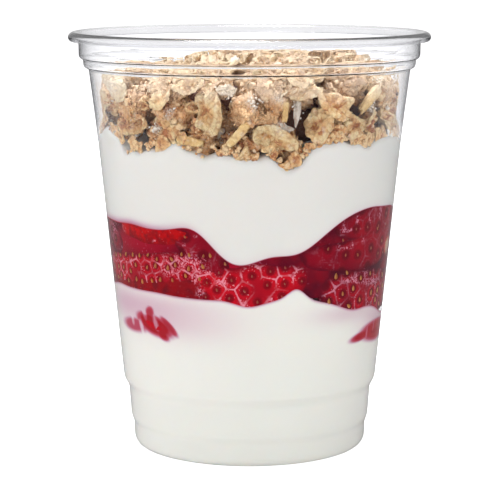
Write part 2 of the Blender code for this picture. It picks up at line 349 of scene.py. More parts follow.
# (azimuth, half width, height) of the waves between the layers, azimuth 0 at the front, in mm
BERRY_FLOOR = 45.7
BERRY_FLOOR_WAVES = (
    (-55, 23, 0.8), (-1, 8, -1.6), (19, 5, 2.8), (47, 15, -4), (79, 18, -8), (130, 26, 1.2),
    (205, 24, -2.6),
)
BERRY_ROOF = 63.4
BERRY_ROOF_WAVES = (
    (-20, 12, 6.6), (-9, 19, -9.9), (19, 14, -4.6), (52, 19, 4.5), (77, 14, 2.5), (128, 22, -3),
    (172, 20, 2.4), (218, 20, -4.6), (252, 14, 1),
)
RIPPLE = 0.13


def away_round(azimuth, middle):
    """How many degrees off an azimuth lies, the short way round the wall."""
    return (azimuth - middle + 180) % 360 - 180


def bell(values, middle, half_width):
    """1 in the middle, fading out smoothly to both sides."""
    return np.exp(-(((values - middle) / half_width) ** 2))


def wave_height(waves, azimuth):
    total = np.zeros_like(azimuth)
    for middle, half_width, height in waves:
        total += height * bell(away_round(azimuth, middle), 0, half_width)
    return total


def ripple(azimuth, seed):
    """Small uneven waves round the wall, with no seam at the back."""
    turn = np.radians(azimuth)
    waves = (np.sin(turn * n + seed * n) / (1 + 0.3 * abs(n - 13)) for n in (7, 11, 13, 17, 23))
    return RIPPLE * sum(waves)


def berry_floor(azimuth):
    return (BERRY_FLOOR + wave_height(BERRY_FLOOR_WAVES, azimuth) + ripple(azimuth, 1.3)) * MM


def berry_roof(azimuth):
    return (BERRY_ROOF + wave_height(BERRY_ROOF_WAVES, azimuth) + ripple(azimuth, 2.9)) * MM


def wall_radius(height):
    """The radius of the cup's outer side at a height."""
    return np.interp(height, wall_heights, wall_radii)


def set_points(mesh, points):
    mesh.vertices.foreach_set("co", np.ascontiguousarray(points, dtype=np.float32).ravel())
    mesh.update()


def azimuth_of(points):
    return np.degrees(np.arctan2(points[:, 0], -points[:, 1]))


def around(azimuth, radius, height):
    turn = np.radians(azimuth)
    return np.stack([radius * np.sin(turn), -radius * np.cos(turn), height], axis=-1)


def measured(piece):
    """The azimuth, the radius and the height of each point."""
    points = points_of(piece.data)
    return azimuth_of(points), np.hypot(points[:, 0], points[:, 1]), points[:, 2]


def settle(piece, low, high, floor, roof):
    """Lets a turned layer settle, so that its span from low to high runs between two wavy surfaces."""
    azimuth, radius, height = measured(piece)
    reach = radius / wall_radius(height)
    part = (height - low) / (high - low)
    faded = np.minimum(1, reach / 0.8) ** 2
    settled_floor = low + (floor(azimuth) - low) * faded
    settled_roof = high + (roof(azimuth) - high) * faded
    settled = np.where(part < 0, height, settled_floor + (settled_roof - settled_floor) * part)
    set_points(piece.data, around(azimuth, reach * wall_radius(settled), settled))


def near_wall(height):
    return wall_radius(height) - WET_DEPTH


def part_way(part, height):
    """A point of a layer's outline, part of the way from the cup's axis out to the wall."""
    return Vector((near_wall(height) * part, height))


def flat_side(height, parts=LAYER_RINGS):
    """Points of a layer's flat side, from the cup's axis outwards."""
    return [part_way(part, height) for part in parts]


def wall_line(low, high, step=0.7 * MM):
    """Points up the wall, close enough together to carry a stain's soft edge."""
    heights = np.linspace(low, high, max(2, round((high - low) / step)))
    return [part_way(1, height) for height in heights]


def stain_around(azimuth, height, spots):
    """How deeply juice has stained the yogurt, from blots of (azimuth, height, width, rise, depth)."""
    stain = np.zeros_like(azimuth)
    for middle, level, width, rise, depth in spots:
        stain += depth * bell(away_round(azimuth, middle), 0, width) * bell(height / MM, level, rise)
    return stain


def smooth(values, low, high):
    part = np.clip((values - low) / (high - low), 0, 1)
    return part * part * (3 - 2 * part)


def blot(azimuth, height, middle, level, half_length, half_height, tilt, depth):
    """The depth of a stain inside a leaning oval on the wall, fading out round it. Sizes in mm."""
    along = np.radians(away_round(azimuth, middle)) * wall_radius(level * MM) / MM
    up = height / MM - level
    lean = math.radians(tilt)
    x = (along * math.cos(lean) + up * math.sin(lean)) / half_length
    y = (up * math.cos(lean) - along * math.sin(lean)) / half_height
    return depth * (1 - smooth(np.hypot(x, y), 0.55, 1.45))


def yogurt_finish(name, light, shade):
    finish = Finish(name)
    cloudy = finish.noise(38, 3)
    smears = finish.noise(9, 1)
    plain = finish.mix(smears.rise(0.35, 0.65), light, shade)
    stained = finish.ramp(finish.mark("stain"), (
        (0, (255, 255, 255)), (0.3, (226, 190, 212)), (0.6, (208, 90, 120)), (1, (190, 4, 34)),
    ))
    stained = finish.mix(1, plain, stained, "MULTIPLY")
    return finish.done({
        "Base Color": stained,
        "Roughness": cloudy * 0.1 + 0.3,
        "Subsurface Weight": 0.25,
        "Subsurface Radius": (1, 0.7, 0.5),
        "Subsurface Scale": 1.2 * MM,
        "Specular IOR Level": 0.2,
        "Normal": finish.bump(cloudy, 0.15 * MM, 0.4),
    })


foot_line = [point for point in cup_outside if point.y < FOOT_TOP and point.x < wall_radius(FOOT_TOP)]
foot_line = [point for point in other_side(foot_line, WET_DEPTH) if point.y < FOOT_TOP - 0.5 * MM]
yogurt_level = BERRY_FLOOR * MM
cap = flat_side(yogurt_level, (*LAYER_RINGS, OUTER_RING))[::-1]
lower_outline = foot_line + wall_line(FOOT_TOP, 28 * MM) + wall_line(28.4 * MM, yogurt_level, 0.4 * MM) + cap
lower_yogurt = turned("yogurt_lower_layer", lower_outline, FOOD_SIDES)
settle(lower_yogurt, FOOT_TOP, yogurt_level, lambda azimuth: FOOT_TOP, berry_floor)
azimuth, _, height = measured(lower_yogurt)
below = np.maximum(berry_floor(azimuth) - height, 0) / MM
LOWER_STAINS = (
    (-42, 39, 16, 4.4, 0.14), (-20, 39, 19, 5, 0.1), (-66, 41, 16, 4.6, 0.2),
    (-44, 43.4, 26, 3, 0.12), (70, 37.5, 15, 4, 0.2), (44, 40.5, 18, 2.6, 0.14),
    (170, 37.5, 16, 4, 0.22), (120, 42, 26, 3, 0.14),
)
# Fruit just under the surface: azimuth, height, half length, half height, tilt and depth of each part
BLOTS = (
    (-44, 37.4, 6.6, 2.5, -14, 1.15), (-39.5, 35.3, 2.6, 1.3, -30, 1), (-35.5, 37.5, 3.4, 1.1, -42, 0.9),
    (-46, 40.2, 2.2, 1.6, 60, 0.85), (-57, 36.3, 6.6, 1.9, 2, 0.66), (72, 33.6, 9.6, 2.7, -2, 1.2),
    (57, 33.4, 5.4, 1.2, 8, 1), (171, 36.5, 6.8, 2.4, 6, 1), (160, 35.8, 4.4, 1.2, -8, 0.8),
)
# The pits in it that yogurt fills, in the same way
FILLED_PITS = (
    (-52, 36.6, 1.9, 0.8, 100, 0.42), (-42.5, 37.7, 2, 0.9, 112, 0.68), (-49, 39.7, 1.7, 0.8, 104, 0.5),
    (-58.5, 37.2, 1.2, 0.7, 96, 0.28), (60.5, 33.8, 1.4, 0.5, 84, 0.45), (67, 34.6, 1.5, 0.5, 80, 0.45),
    (76, 34.4, 1.4, 0.5, 84, 0.4), (163, 36.6, 1.4, 0.7, 80, 0.5), (169, 37.2, 1.7, 0.8, 70, 0.55),
    (176, 36.6, 1.5, 0.8, 84, 0.5),
)
stain = stain_around(azimuth, height, LOWER_STAINS) + 0.45 * bell(below, 0, 0.35)
blotted = np.max([blot(azimuth, height, *values) for values in BLOTS], axis=0)
blotted -= np.max([blot(azimuth, height, *values) for values in FILLED_PITS], axis=0)
carry(lower_yogurt.data, "stain", np.maximum(stain, blotted))
lower_yogurt.data.materials.append(yogurt_finish("yogurt_lower", (245, 243, 237), (242, 242, 235)))
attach(lower_yogurt, "root")
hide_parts("yogurt_lower")


# -------------------------------------------- The strawberries at the wall
# Ripe strawberries cut in halves and slices, which stand with their skin or a cut side pressed
# to the plastic. The flesh bulges between the seed pits and is flattened there into a pale net,
# which is partly painted highlight.

BERRY_AROUND = 84
BERRY_ALONG = 130
BERRY_DEPTH = 4.7
WALL_REACH = 40
PRESS_DEPTH = 0.13 * MM
# The node's name after "strawberry_": azimuth, height, half length, half height, tilt, taper, bend,
# pit spacing (0 is a cut side), pale net, ripeness, seed size, seed gold. Lengths in mm; ripeness
# goes from bright red at 0 to maroon at 1.
WALL_BERRIES = {
    "left_half": (-46, 52.6, 23.5, 5.4, 6, 0.12, 0.3, 3.6, 0.9, 0.25, 0.95, 0.75),
    "left_cut": (-41, 62.4, 13.6, 3.2, -2, 0.1, 0.3, 0, 0, 0, 1, 0),
    "left_tip": (-19, 58.8, 9.4, 5, -40, 0.1, 0, 6.4, 0.2, 0.6, 0.8, 0.5),
    "left_chunk": (-72, 60.2, 8, 4.6, -30, 0.1, 0.2, 4.4, 0.3, 0.75, 0.7, 0.2),
    "left_slice": (-41, 47.6, 20.5, 3.6, 4, -0.25, 0.1, 0, 0, 0.5, 1, 0),
    "front_half": (-1, 49.8, 16.6, 7.2, 2, 0.04, 0.4, 4.3, 1, 0.15, 0.62, 0.1),
    "right_half": (61, 45.6, 21, 6.6, -5, 0.05, 0.2, 4.7, 0.95, 0.6, 1.15, 0.85),
    "right_slice": (51, 57.4, 21.5, 5.4, 5, -0.2, 0.3, 5.2, 0.16, 0.62, 0.75, 0.3),
    "right_cut": (61, 64.2, 18.6, 4.4, 3, -0.12, 0, 5.4, 0.25, 0.62, 0.7, 0.1),
    "back_half_1": (119, 51.4, 15.5, 5.9, 5, 0.15, 0.2, 3.3, 0.8, 0.25, 1, 0.8),
    "back_half_2": (161, 51.4, 15, 6, -4, -0.15, 0.3, 3, 0.7, 0.45, 1, 0.9),
    "back_half_3": (205, 49.2, 16, 6.4, 4, 0.12, 0.2, 3.9, 0.95, 0.15, 0.9, 0.4),
    "back_half_4": (248, 51, 15, 5.8, -5, 0.15, 0.3, 3.2, 0.6, 0.4, 1, 0.8),
    "back_slice_1": (104, 60.3, 10, 4.2, 8, 0.15, 0.1, 3.5, 0.4, 0.6, 0.9, 0.6),
    "back_slice_2": (138, 59.4, 13.4, 3.2, -5, 0.12, 0.1, 0, 0, 0.05, 1, 0),
    "back_slice_3": (177, 60.7, 13.6, 4.6, 3, -0.15, 0.2, 3.6, 0.5, 0.35, 0.9, 0.7),
    "back_slice_4": (225, 58.2, 12.6, 3, -4, 0.1, 0.1, 0, 0, 0.4, 1, 0),
    "back_slice_5": (259, 60.6, 11.4, 4.4, 6, 0.15, 0.2, 3.2, 0.45, 0.5, 1, 0.8),
}
# Where the first seed pits of some of them sit: azimuth and height in mm. The rest are strewn.
PLACED_PITS = {
    "front_half": (
        (-13, 48.4), (-7, 51.1), (-2, 48.2), (-8, 46.3), (1, 52.2), (7, 49.8), (14, 50), (13, 46.7),
        (-12, 53), (14, 54.3), (-17, 50.2), (21, 50.5),
    ),
    "left_tip": ((-18, 57.2),),
    "right_half": ((32, 48.6), (41, 46), (47, 47), (52, 43.5), (45, 42.4), (34, 44.4)),
    "right_slice": ((39, 60.4), (32, 58.5), (41, 56.3), (48, 55.9), (57, 57)),
}
# Spots where a thin layer of air lies between a berry and the plastic, painted with a pale highlight:
# azimuth, height, half width, half height, in mm
AIR_FILM_HIGHLIGHTS = (
    (-25, 55.2, 4.6, 2.2), (-18, 53, 1.6, 0.5), (-34, 52.5, 2, 1.2), (-70, 61, 2.2, 1.6),
    (-61, 61.6, 1.6, 1.2), (-53, 59.8, 0.4, 0.4), (-40, 60.1, 0.6, 0.3), (-62, 56.8, 0.5, 0.5),
    (-26, 59.9, 0.4, 0.5), (-21, 62.3, 0.4, 0.3), (-20, 47.4, 1, 1.4), (-11, 50.6, 1.6, 1),
    (39, 64, 0.45, 1.7), (46, 64.8, 0.45, 2), (54, 64.5, 0.5, 1.9), (62, 66.4, 0.7, 1.9),
    (41, 62.8, 4, 0.4), (40, 58.1, 2, 0.35), (37, 59, 0.5, 0.8), (44, 58.9, 0.5, 0.8),
    (35, 61.7, 2, 0.3), (51, 59.4, 0.7, 0.7), (44, 49.4, 2.6, 0.7), (51, 48.8, 3.2, 0.8),
    (60, 47.8, 3.6, 0.9), (53, 50.4, 4, 0.7), (150, 53, 4, 1.8), (212, 51.5, 4, 1.6),
    (240, 54, 3.5, 1.6), (112, 55, 3.5, 1.4), (196, 62, 2, 0.5), (128, 49, 2, 0.8),
)
# Pale ends of cut cores, in the same way
CORE_ENDS = ((75.5, 56.2, 3.4, 2.7), (262, 52, 3, 2.4))
seed_places = []


def seed_pits(half_length, half_height, spacing, placed):
    """Pit middles along a berry: the placed ones, and between them rows, each a little off its place."""
    pits = list(placed)
    rows = int(half_height * 2 / (spacing * 0.84)) + 2
    columns = int(half_length * 2 / spacing) + 2
    for row in range(-rows, rows + 1):
        for column in range(-columns, columns + 1):
            along = (column + 0.5 * (row % 2)) * spacing + chance.normal(0, spacing * 0.15)
            up = row * spacing * 0.84 + chance.normal(0, spacing * 0.15)
            clear = all(math.hypot(along - x, up - y) > spacing * 0.8 for x, y in placed)
            if clear and abs(along) < half_length and abs(up) < half_height:
                pits.append((along, up))
    return np.array(pits)


def two_nearest(places, pits):
    """For each place, how far off its nearest pit is, and how far off the second one is."""
    away = np.hypot(places[:, None, 0] - pits[None, :, 0], places[:, None, 1] - pits[None, :, 1])
    return np.sort(away, axis=1)[:, :2].T


def lay_on_wall(along, up, depth, azimuth, middle, tilt):
    """Points along and up the wall, in mm from a middle, and in from it, as places in the cup."""
    lean = math.radians(tilt)
    along_wall = along * math.cos(lean) - up * math.sin(lean)
    height = (middle + along * math.sin(lean) + up * math.cos(lean)) * MM
    spot = azimuth + np.degrees(along_wall * MM / wall_radius(middle * MM))
    return spot, height, depth * MM


def from_wall(spot, height, azimuth, middle, tilt):
    """The way back: places on the wall as points along and up a berry, in mm from its middle."""
    lean = math.radians(tilt)
    along_wall = math.radians(spot - azimuth) * wall_radius(middle * MM) / MM
    up_wall = height - middle
    return (along_wall * math.cos(lean) + up_wall * math.sin(lean),
            up_wall * math.cos(lean) - along_wall * math.sin(lean))


def squeezed(height, low, high):
    """Heights held between two surfaces, with a trace of their order kept beyond them."""
    height = np.where(height > high, high + (height - high) * 0.02, height)
    return np.where(height < low, low + (height - low) * 0.02, height)


def berry_blank(name):
    blank = fresh(
        bpy.ops.mesh.primitive_uv_sphere_add, segments=BERRY_AROUND, ring_count=BERRY_ALONG, radius=1)
    blank.name = blank.data.name = name
    bpy.ops.object.shade_smooth()
    return blank


def even_ends(blank):
    """The blank's own coordinates, with its rings spread evenly and its sides crowded to the front."""
    points = points_of(blank.data)
    along = 0.75 * 2 / math.pi * np.arcsin(np.clip(points[:, 2], -1, 1)) + 0.25 * points[:, 2]
    turn = np.arctan2(points[:, 0], points[:, 1])
    turn = turn - 0.5 * np.sin(turn)
    girth = np.clip(1 - along**2, 0, 1) ** 0.3
    return along, np.sin(turn) * girth, np.cos(turn) * girth


def spots_over(azimuth, height, spots):
    """How much of a point lies in one of the spots, which fade out round them."""
    covered = np.zeros_like(azimuth)
    for middle, level, width, rise in spots:
        along = np.radians(away_round(azimuth, middle)) * WALL_REACH
        covered += bell(along, 0, width) * bell(height / MM, level, rise)
    return covered


def grow_berry(name, values, limits, depth_of_piece, placed, sunk=0):
    azimuth, middle, half_length, half_height, tilt, taper, bend, spacing, net, ripeness, *_ = values
    blank = berry_blank(name)
    along, up, out = even_ends(blank)
    offset = chance.uniform(0, 50)
    uneven = np.array([noise.noise((a * 2.2 + offset, np.sign(u) * 1.5, 0)) for a, u in zip(along, up)])
    width = half_height * (1 - taper * along) * (1 + (0.18 if spacing else 0.42) * uneven)
    x = along * half_length
    y = up * width + bend * (along**2 * 2 - 1) * half_height * 0.5
    flat = np.sign(out) * np.abs(out) ** 0.15
    depth = (1 - flat) / 2 * depth_of_piece + sunk
    facing = smooth(out, 0.25, 0.8)
    marked = smooth(np.array([noise.noise((a / 7 + offset, b / 5, 3)) for a, b in zip(x, y)]), -0.36, 0.1)
    pit_reach, pit_gap = np.ones_like(x), np.full_like(x, 9)
    if spacing:
        placed = [from_wall(*pit, azimuth, middle, tilt) for pit in placed]
        pits = np.array(placed)
        if not sunk:
            pits = seed_pits(half_length * 0.97, half_height * 1.05, spacing, placed)
        long_way = np.array([1.5, 0.8]) if sunk else 1
        first, second = two_nearest(np.stack([x, y], axis=1) * long_way, pits * long_way)
        pit_reach, pit_gap = first / spacing, second - first
        pit = 1 - smooth(pit_reach, 0.1, 0.46)
        between = 0 if sunk else 0.05
        depth += facing * (0.09 * pit + between * smooth(pit_gap, 0.1, 0.14 + spacing * 0.1))
        if not sunk:
            lay_seeds(pits, values, limits)
    else:
        grain = np.array([noise.noise((a * 4 + offset, b * 1.3, 0)) for a, b in zip(x / 4, y)])
        depth += facing * (0.06 + 0.06 * grain)
    spot, height, inward = lay_on_wall(x, y, depth, azimuth, middle, tilt)
    low, high = limits(spot)
    height = squeezed(height, low, high)
    radius = wall_radius(height) - PRESS_DEPTH - inward
    set_points(blank.data, around(spot, radius, height))
    blank.data.flip_normals()
    for mark, value in {
        "net": net * marked * facing,
        "pit_reach": pit_reach,
        "pit_gap": pit_gap,
        # Where a pale highlight is painted over the trapped air
        "film": spots_over(spot, height, AIR_FILM_HIGHLIGHTS) * facing,
        "core": spots_over(spot, height, CORE_ENDS),
        "cut": 0 if spacing else 1,
        "ripe": ripeness,
        # Painted shade where the piece rounds away from the plastic to its sides
        "edge": (1 - smooth(out, 0.3, 0.85)) * (1 if spacing else 0.6),
    }.items():
        carry(blank.data, mark, value)
    return blank


def lay_seeds(pits, values, limits):
    azimuth, middle, half_length, half_height, tilt, taper, *_, seed_size, seed_gold = values
    for x, y in pits:
        along = x / half_length
        across = y / (half_height * (1 - taper * along))
        if abs(along) > 0.9 or abs(across) > 0.74:
            continue
        spot, height, inward = lay_on_wall(x, y, 0.1, azimuth, middle, tilt)
        low, high = limits(np.array([spot]))
        if low[0] + 0.5 * MM < height < high[0] - 0.5 * MM:
            radius = wall_radius(height) - PRESS_DEPTH - inward
            turn = 90 + chance.normal(8, 20)
            seed_places.append((spot, radius, height, turn, seed_size, seed_gold))


def berry_skin():
    """Red to maroon skin or cut flesh, with painted shade to its sides and in the pits, a painted bright
    ring round each pit, and pale lines between the pits that are partly painted highlight.
    """
    finish = Finish("strawberry_skin")
    ripe, edge, net = finish.mark("ripe"), finish.mark("edge"), finish.mark("net")
    sparkle = finish.noise(2000, 3)
    mottle = finish.noise(420, 3)
    patches = finish.noise(110, 2)
    wobble = finish.noise(900, 2) - 0.5
    skin_red = finish.mix((ripe + (patches - 0.5) * 0.9).held(), (206, 4, 32), (98, 2, 36))
    flesh = finish.mix(mottle.rise(0.42, 0.66), (208, 6, 14), (150, 4, 20))
    flesh = finish.mix((ripe + (patches - 0.5) * 0.6).held(), flesh, (104, 10, 30))
    flesh = finish.mix(sparkle.rise(0.66, 0.74) * 0.5, flesh, (236, 150, 156))
    skin = finish.mix(finish.mark("cut"), skin_red, flesh)
    reach = finish.mark("pit_reach") + wobble * 0.1
    # Painted highlight: a brighter red ring round each pit, where a domed cell would catch the light
    ring = reach.rise(0.24, 0.34) * reach.rise(0.52, 0.44)
    skin = finish.mix(ring * net * 0.45, skin, (226, 12, 40))
    # Painted shade: darker red down in each pit
    pit_shade = reach.rise(0.36, 0.18)
    skin = finish.mix(pit_shade * 0.6, skin, (92, 0, 20))
    # Painted shade: darker where the piece rounds away from the plastic
    skin = finish.mix(edge.held() * 0.8, skin, (76, 2, 30))
    core = finish.mark("core") + wobble * 0.3
    skin = finish.mix(core.rise(0.25, 0.6), skin, (206, 70, 44))
    skin = finish.mix(core.rise(0.5, 0.8), skin, (214, 176, 150))
    # Pale lines between the pits: partly the paler flattened flesh, partly painted highlight, with painted
    # sparkling specks at the cells' rims
    line = (finish.mark("pit_gap") + wobble * 0.6).rise(0.55, 0.22)
    line = finish.math("MAXIMUM", line * 0.9, reach.rise(0.52, 0.6) * sparkle.rise(0.5, 0.6))
    line = line * net * (mottle.rise(0.42, 0.56) * 0.75 + 0.25)
    # Painted highlights: white glints by the seeds and pale spots over the trapped air
    glint = sparkle.rise(0.64, 0.7) * net * reach.rise(0.2, 0.3) * 0.7
    film = (finish.mark("film") * 1.6).held() * sparkle.rise(0.46, 0.6) * (1 - pit_shade) * 0.85
    pale = finish.mix(ripe, (252, 178, 194), (226, 150, 178))
    skin = finish.mix(finish.math("MAXIMUM", line, film).held() * 0.9, skin, pale)
    skin = finish.mix(glint.held(), skin, (252, 214, 222))
    return finish.done({
        "Base Color": skin,
        "Roughness": mottle * 0.1 + 0.4,
        "Specular IOR Level": 0.08,
        "Subsurface Weight": 0.06,
        "Subsurface Radius": (1, 0.25, 0.2),
        "Subsurface Scale": 0.5 * MM,
        "Normal": finish.bump(mottle, 0.06 * MM, 0.4),
    })


def between_layers(azimuth):
    return berry_floor(azimuth) - 0.2 * MM, berry_roof(azimuth) + 0.2 * MM


skin_finish = berry_skin()
for name, values in WALL_BERRIES.items():
    node = "strawberry_" + name
    berry = grow_berry(node + "_cut", values, between_layers, BERRY_DEPTH, PLACED_PITS.get(name, ()))
    berry.data.materials.append(skin_finish)
    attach(berry, "root")
    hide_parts(node)


# ----------------------------------------------------- The sunk strawberries
# Small pieces that slipped down into the lower yogurt. Only the ridges between their seed pits
# touch the plastic, and yogurt fills the pits.

SUNK_DEPTH = 3.6
SUNK_BERRIES = {
    "sunk_left": (-44, 37.3, 6.2, 2.1, -15, 0.25, 0.2, 3, 0, 0.1, 1, 0),
    "sunk_right": (71, 33.6, 8.6, 2.1, 2, -0.3, 0.2, 2.6, 0, 0.35, 1, 0),
    "sunk_back": (170, 36.2, 9.5, 2.8, 6, 0.2, 0.2, 3, 0, 0.3, 1, 0),
}


def in_lower_yogurt(azimuth):
    return np.full_like(azimuth, FOOT_TOP), berry_floor(azimuth) - 0.6 * MM


for name, values in SUNK_BERRIES.items():
    node = "strawberry_" + name
    pits = [pit[:2] for pit in FILLED_PITS if abs(pit[0] - values[0]) < 20]
    berry = grow_berry(node + "_piece", values, in_lower_yogurt, SUNK_DEPTH, pits, sunk=-0.05)
    berry.data.materials.append(skin_finish)
    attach(berry, "root")
    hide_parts(node)


# ------------------------------------------------------ The strawberry seeds
# Each pit holds one hard seed, a flat golden drop that lies along the berry.


def blank_arrays(add, **sizes):
    """The points and faces of a small blank, which is then thrown away."""
    piece = fresh(add, **sizes)
    points = points_of(piece.data)
    faces = [tuple(face.vertices) for face in piece.data.polygons]
    bpy.data.objects.remove(piece)
    return points, faces


def seed_blank():
    points, faces = blank_arrays(bpy.ops.mesh.primitive_uv_sphere_add, segments=8, ring_count=6, radius=1)
    pointed = 1 - 0.38 * points[:, 2:]
    sizes = np.array([0.37, 0.16, 0.64]) * MM
    return points * sizes * np.hstack([pointed, pointed, np.ones_like(pointed)]), faces, points[:, 0]


def joined(name, blanks, copies, marks):
    """One mesh of many copies. Each copy is (blank, 3x3 turn and size, place, values of the marks)."""
    all_points, all_faces, carried, start = [], [], [], 0
    for which, turn, place, values in copies:
        points, faces, *own = blanks[which]
        all_points.append(points @ turn.T + place)
        all_faces.extend(tuple(corner + start for corner in face) for face in faces)
        carried.append(np.column_stack([np.repeat([values], len(points), axis=0), *own]))
        start += len(points)
    mesh = bpy.data.meshes.new(name)
    mesh.from_pydata(np.concatenate(all_points).tolist(), [], all_faces)
    mesh.shade_smooth()
    values = np.concatenate(carried)
    for mark, column in zip(marks, values.T):
        carry(mesh, mark, column)
    piece = bpy.data.objects.new(name, mesh)
    bpy.context.scene.collection.objects.link(piece)
    return piece


def wall_axes(azimuth, lean):
    """Axes at the wall, along and across it, leaned by some degrees in its plane, and out of it."""
    turn, tilt = math.radians(azimuth), math.radians(lean)
    along = np.array([math.cos(turn), math.sin(turn), 0])
    up = np.array([0, 0, 1])
    out = np.array([math.sin(turn), -math.cos(turn), 0])
    return (
        along * math.cos(tilt) + up * math.sin(tilt), up * math.cos(tilt) - along * math.sin(tilt), out)


def seed_finish():
    finish = Finish("strawberry_seed")
    gold = finish.mark("gold")
    colour = finish.mix(gold, (150, 20, 24), (214, 138, 36))
    lit_side = finish.mix(gold, (222, 110, 110), (248, 208, 112))
    colour = finish.mix(finish.mark("side").rise(0.1, 0.7) * 0.6, colour, lit_side)
    streak = finish.noise(900, 2)
    return finish.done({
        "Base Color": finish.mix(streak * 0.3, colour, (130, 66, 26)),
        "Roughness": streak * 0.2 + 0.22,
        "Coat Weight": 0.4,
    })


copies = []
for azimuth, radius, height, lean, seed_size, seed_gold in seed_places:
    along, across, out = wall_axes(azimuth, lean)
    turn = np.stack([across, out, along], axis=1) * seed_size * chance.uniform(0.85, 1.2)
    copies.append((0, turn, around(azimuth, radius, height), (seed_gold * chance.uniform(0.7, 1.15),)))
seeds = joined("strawberry_seeds", [seed_blank()], copies, ("gold", "side"))
seeds.data.materials.append(seed_finish())
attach(seeds, "root")


# -------------------------------------------------------- The strawberry bed
# More cut strawberries in their own juice fill the layer behind the ones at the wall. In the
# gaps between those, this dark wet fruit shows, dark partly from its juice and partly as painted shade.

BED_DEPTH = 0.32 * MM
BED_HOLLOW = 0.05 * MM
# Where less juice has gathered and the fruit is a brighter red, in the same way as the air films
FRESH_SPOTS = (
    (-50, 59, 14, 3.2), (-8, 55, 9, 2), (128, 56, 12, 3), (190, 56, 14, 3), (236, 47, 12, 3),
)


def bed_finish():
    finish = Finish("strawberry_bed")
    lumps = finish.noise(140, 3)
    fibres = finish.noise(600, 2)
    # Painted shade: the dark maroon of the gaps, partly the juice's own colour
    colour = finish.mix(lumps.rise(0.35, 0.68), (92, 2, 34), (150, 4, 34))
    colour = finish.mix(fibres * 0.3, colour, (60, 2, 24))
    colour = finish.mix(finish.mark("fresh").held() * 0.85, colour, (186, 2, 44))
    specks = finish.noise(1500, 3).rise(0.66, 0.72)
    colour = finish.mix(specks * 0.5, colour, (226, 130, 156))
    core = finish.mark("core") + (fibres - 0.5) * 0.4
    return finish.done({
        "Base Color": finish.mix(core.rise(0.35, 0.7), colour, (206, 168, 146)),
        "Roughness": fibres * 0.25 + 0.35,
        "Specular IOR Level": 0.08,
        "Normal": finish.bump(lumps, 0.5 * MM, 0.8),
    })


bed_low, bed_high = BERRY_FLOOR * MM, BERRY_ROOF * MM
bed_outline = flat_side(bed_low) + wall_line(bed_low, bed_high, 0.8 * MM) + flat_side(bed_high)[::-1]
bed = turned("strawberry_bed_fruit", bed_outline, FOOD_SIDES)
settle(bed, bed_low, bed_high, berry_floor, berry_roof)
azimuth, reach, height = measured(bed)
hollow = np.array([abs(noise.noise(Vector(p) / (3.5 * MM))) for p in points_of(bed.data)])
hollow = np.where(reach > 0.9 * wall_radius(height), hollow * BED_HOLLOW + BED_DEPTH, 0)
set_points(bed.data, around(azimuth, reach - hollow, height))
carry(bed.data, "core", spots_over(azimuth, height, CORE_ENDS))
carry(bed.data, "fresh", spots_over(azimuth, height, FRESH_SPOTS))
bed.data.materials.append(bed_finish())
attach(bed, "root")
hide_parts("strawberry_bed")


# --------------------------------------------------------- The upper yogurt
# The second helping of yogurt. It flowed down between the strawberries at the front, and the
# granola has sunk a little way into its top and left it uneven there.

GRANOLA_FLOOR = 84
GRANOLA_FLOOR_WAVES = (
    (-66, 13, 4.8), (-52, 3, -2.1), (-27, 4, 2.7), (-1, 5, -1.3), (15, 6, -4.4), (50, 25, 4.4),
    (48, 8, -3.5), (105, 16, -1.2), (160, 14, 2.6), (212, 18, -1.6), (250, 12, 1.8),
)


def granola_floor(azimuth):
    rough = ripple(azimuth * 3, 4.1) * 1.6 + ripple(azimuth, 0.7) * 2
    return (GRANOLA_FLOOR + wave_height(GRANOLA_FLOOR_WAVES, azimuth) + rough) * MM


upper_low, upper_high = BERRY_ROOF * MM, GRANOLA_FLOOR * MM
upper_outline = flat_side(upper_low, (*LAYER_RINGS, OUTER_RING))
upper_outline += wall_line(upper_low, upper_low + 3 * MM, 0.25 * MM)
upper_outline += wall_line(upper_low + 3.6 * MM, upper_high - 1.5 * MM)
for part, drop in ((0.992, 0.9), (0.982, 0.5), (0.966, 0.2), (0.93, 0), (0.85, 0), (0.5, 0), (0, 0)):
    upper_outline.append(part_way(part, upper_high - drop * MM))
upper_yogurt = turned("yogurt_upper_layer", upper_outline, FOOD_SIDES)
settle(upper_yogurt, upper_low, upper_high, berry_roof, granola_floor)
azimuth, _, height = measured(upper_yogurt)
above = np.maximum(height - berry_roof(azimuth), 0) / MM
glow = 0.05 + bell(azimuth, -55, 26) * 0.42 + bell(np.abs(azimuth), 150, 40) * 0.2
carry(upper_yogurt.data, "stain", bell(above, 0, 0.17) * 0.75 + bell(above, 0, 1.3) * glow)
upper_yogurt.data.materials.append(yogurt_finish("yogurt_upper", (238, 236, 231), (234, 234, 230)))
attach(upper_yogurt, "root")
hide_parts("yogurt_upper")


# -------------------------------------------------------------- The granola
# Rolled oats baked with honey until they stick together in crumbly clusters, broken up and heaped
# on the yogurt. Flakes, crumbs, almond slivers and coconut are stuck on them and lie between.

HEAP_REACH = 0.8
HEAP_TOP = 99
HEAP_RADIUS = 36 * MM
HEAP_CEILING = 107
PLAIN_RIM = 0.6
BANDS_BEGIN = 95 * MM
CLUSTER_FORMS = 10
UPWARDS = np.array([0, 0, 1.0])


# The heap's core under the clusters is painted dark brown, as the shade in the gaps between them
def heap_finish():
    finish = Finish("granola_core")
    grain = finish.noise(700, 4)
    lumps = finish.noise(160, 2)
    colour = finish.mix(lumps.rise(0.3, 0.7), (70, 36, 34), (128, 84, 62))
    return finish.done({
        "Base Color": finish.mix(grain * 0.6, colour, (80, 52, 38)),
        "Roughness": grain * 0.2 + 0.7,
        "Normal": finish.bump(grain, 0.5 * MM, 0.8),
    })


